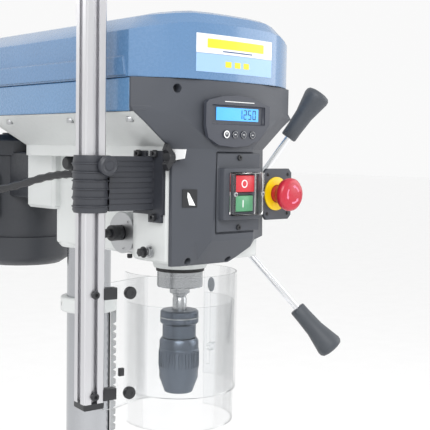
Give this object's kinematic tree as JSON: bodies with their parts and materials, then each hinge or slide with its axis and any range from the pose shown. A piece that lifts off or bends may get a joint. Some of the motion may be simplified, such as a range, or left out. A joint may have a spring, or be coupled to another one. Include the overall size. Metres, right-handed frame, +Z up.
{
  "type": "bench drill press",
  "caption": "Belt-driven bench drill press on a round column, with a rack-raised tilting table, spoke feed handles, keyless chuck and a swing-away clear guard.",
  "frame": {"origin": "on the floor under the column's axis, at the base's underside", "axes": "+Z up along the column, -Y towards the user, +X to the user's right where the feed handles are"},
  "size_m": [0.3853, 0.595, 1.095],
  "materials": {
    "blue": "glossy blue paint",
    "white": "satin off-white paint on cast iron",
    "charcoal": "textured charcoal plastic",
    "black": "satin black plastic",
    "steel": "turned and ground steel",
    "dark": "dark phosphated steel",
    "chrome": "bright chrome plate",
    "aluminium": "clear anodised aluminium",
    "cast": "machined grey cast iron",
    "red": "red plastic",
    "green": "green plastic",
    "yellow": "yellow plastic",
    "screen": "lit blue display window",
    "clear": "clear polycarbonate",
    "rubber": "black rubber",
    "cast_dark": "charcoal painted steel"
  },
  "bodies": {
    "frame": {"base": "cast", "column_flange": "cast", "column": "steel", "head_casting": "white", "belt_tray": "blue", "front_panel": "charcoal", "display_bezel": "charcoal", "display_screen": "screen", "switch_box": "charcoal", "switch_cover": "clear", "estop_bracket": "charcoal", "estop_ring": "yellow", "quill_seal": "rubber", "spring_housing": "steel", "spring_cap": "chrome", "return_spring": "dark", "guard_arm": "charcoal", "front_belt": "rubber", "rear_belt": "rubber", "motor": "cast_dark", "conduit": "black"},
    "lid": {"belt_cover": "blue"},
    "rack": {"column_rack": "steel", "rack_collar": "white"},
    "table_bracket": {"table_bracket": "cast"},
    "table": {"table": "cast"},
    "table_crank": {"table_crank": "steel"},
    "quill": {"quill": "steel"},
    "feed": {"feed_shaft": "steel", "feed_hub": "charcoal", "spring_nut": "black", "handle_rod_1": "chrome", "handle_rod_2": "chrome", "handle_rod_3": "chrome", "handle_grip_1": "charcoal", "handle_grip_2": "charcoal", "handle_grip_3": "charcoal"},
    "motor_pulley": {"motor_pulley": "aluminium"},
    "idler_pulley": {"idler_pulley": "aluminium"},
    "spindle_pulley": {"spindle_pulley": "aluminium"},
    "spindle": {"spindle": "steel", "chuck_arbor": "steel", "chuck_body": "dark"},
    "chuck_sleeve": {"chuck_sleeve": "dark"},
    "jaw_1": {"chuck_jaw_1": "steel"},
    "jaw_2": {"chuck_jaw_2": "steel"},
    "jaw_3": {"chuck_jaw_3": "steel"},
    "guard_sleeve": {"guard_sleeve": "charcoal"},
    "guard_post": {"guard_post": "aluminium", "guard_outer": "clear"},
    "guard_inner": {"guard_inner": "clear"},
    "guard_knob": {"guard_knob": "charcoal"},
    "estop": {"estop_mushroom": "red"},
    "stop_button": {"stop_button": "red"},
    "start_button": {"start_button": "green"},
    "display_button_1": {"display_button_1": "charcoal"},
    "display_button_2": {"display_button_2": "charcoal"},
    "display_button_3": {"display_button_3": "charcoal"},
    "display_button_4": {"display_button_4": "charcoal"},
    "wing_knob": {"wing_knob": "black"}
  },
  "joints": [
    {"name": "lid_hinge", "type": "hinge", "parent": "frame", "child": "lid", "pos_m": [0, 0.25, 0.98], "axis": [-1, 0, 0], "range_deg": [0, 80]},
    {"name": "rack_turn", "type": "hinge", "parent": "frame", "child": "rack", "pos_m": [0, 0, 0.4], "axis": [0, 0, 1], "range_deg": [-60, 60]},
    {"name": "table_raise", "type": "slide", "parent": "rack", "child": "table_bracket", "axis": [0, 0, 1], "range_m": [-0.065, 0.11]},
    {"name": "crank_turn", "type": "hinge", "parent": "table_bracket", "child": "table_crank", "pos_m": [0.03782, -0.02955, 0.218], "axis": [0.6157, 0.788, 0], "range_deg": [-526, 311]},
    {"name": "table_tilt", "type": "hinge", "parent": "table_bracket", "child": "table", "pos_m": [0, -0.146, 0.235], "axis": [0, 1, 0], "range_deg": [-45, 45]},
    {"name": "quill_feed", "type": "slide", "parent": "frame", "child": "quill", "axis": [0, 0, 1], "range_m": [-0.08, 0], "stiffness_N_per_m": 300, "springref_m": 0.25},
    {"name": "feed_turn", "type": "hinge", "parent": "frame", "child": "feed", "pos_m": [0, -0.156, 0.802], "axis": [1, 0, 0], "range_deg": [0, 399]},
    {"name": "motor_turn", "type": "hinge", "parent": "frame", "child": "motor_pulley", "pos_m": [0, 0.176, 0.956], "axis": [0, 0, 1], "continuous": true},
    {"name": "idler_turn", "type": "hinge", "parent": "frame", "child": "idler_pulley", "pos_m": [0, -0.018, 0.956], "axis": [0, 0, 1], "continuous": true},
    {"name": "spindle_pulley_turn", "type": "hinge", "parent": "frame", "child": "spindle_pulley", "pos_m": [0, -0.193, 0.956], "axis": [0, 0, 1], "continuous": true},
    {"name": "spindle_turn", "type": "hinge", "parent": "quill", "child": "spindle", "pos_m": [0, -0.193, 0.73], "axis": [0, 0, 1], "continuous": true},
    {"name": "chuck_sleeve_turn", "type": "hinge", "parent": "spindle", "child": "chuck_sleeve", "pos_m": [0, -0.193, 0.64], "axis": [0, 0, 1], "range_deg": [0, 300]},
    {"name": "jaw_slide_1", "type": "slide", "parent": "spindle", "child": "jaw_1", "axis": [0, -0.2756, -0.9613], "range_m": [0, 0.0071]},
    {"name": "jaw_slide_2", "type": "slide", "parent": "spindle", "child": "jaw_2", "axis": [0.2387, 0.1378, -0.9613], "range_m": [0, 0.0071]},
    {"name": "jaw_slide_3", "type": "slide", "parent": "spindle", "child": "jaw_3", "axis": [-0.2387, 0.1378, -0.9613], "range_m": [0, 0.0071]},
    {"name": "guard_swing", "type": "hinge", "parent": "frame", "child": "guard_sleeve", "pos_m": [-0.151, -0.218, 0.864], "axis": [0, 0, 1], "range_deg": [-95, 0]},
    {"name": "guard_lift", "type": "slide", "parent": "guard_sleeve", "child": "guard_post", "axis": [0, 0, 1], "range_m": [-0.06, 0.012]},
    {"name": "guard_inner_slide", "type": "slide", "parent": "guard_post", "child": "guard_inner", "axis": [0, 0, 1], "range_m": [-0.018, 0.035]},
    {"name": "guard_knob_turn", "type": "hinge", "parent": "guard_sleeve", "child": "guard_knob", "pos_m": [-0.14604, -0.23916, 0.884], "axis": [-0.1219, -0.9925, 0], "range_deg": [0, 270]},
    {"name": "estop_press", "type": "slide", "parent": "frame", "child": "estop", "axis": [0, 1, 0], "range_m": [0, 0.005], "stiffness_N_per_m": 800},
    {"name": "stop_press", "type": "slide", "parent": "frame", "child": "stop_button", "axis": [0, 1, 0], "range_m": [0, 0.003], "stiffness_N_per_m": 500},
    {"name": "start_press", "type": "slide", "parent": "frame", "child": "start_button", "axis": [0, 1, 0], "range_m": [0, 0.003], "stiffness_N_per_m": 500},
    {"name": "display_press_1", "type": "slide", "parent": "frame", "child": "display_button_1", "axis": [0, 1, 0], "range_m": [0, 0.001], "stiffness_N_per_m": 400},
    {"name": "display_press_2", "type": "slide", "parent": "frame", "child": "display_button_2", "axis": [0, 1, 0], "range_m": [0, 0.001], "stiffness_N_per_m": 400},
    {"name": "display_press_3", "type": "slide", "parent": "frame", "child": "display_button_3", "axis": [0, 1, 0], "range_m": [0, 0.001], "stiffness_N_per_m": 400},
    {"name": "display_press_4", "type": "slide", "parent": "frame", "child": "display_button_4", "axis": [0, 1, 0], "range_m": [0, 0.001], "stiffness_N_per_m": 400},
    {"name": "wing_turn", "type": "hinge", "parent": "frame", "child": "wing_knob", "pos_m": [-0.072, -0.262, 0.894], "axis": [1, 0, 0], "range_deg": [-90, 90]}
  ],
  "couplings": [
    {"joint": "crank_turn", "follows": "table_raise", "rad_per_m": -83.333},
    {"joint": "feed_turn", "follows": "quill_feed", "rad_per_m": -86.957},
    {"joint": "idler_turn", "follows": "motor_turn", "ratio": 0.5625},
    {"joint": "spindle_pulley_turn", "follows": "motor_turn", "ratio": 0.46646},
    {"joint": "spindle_turn", "follows": "motor_turn", "ratio": 0.46646},
    {"joint": "jaw_slide_1", "follows": "chuck_sleeve_turn", "m_per_rad": 0.0013369},
    {"joint": "jaw_slide_2", "follows": "chuck_sleeve_turn", "m_per_rad": 0.0013369},
    {"joint": "jaw_slide_3", "follows": "chuck_sleeve_turn", "m_per_rad": 0.0013369}
  ]
}
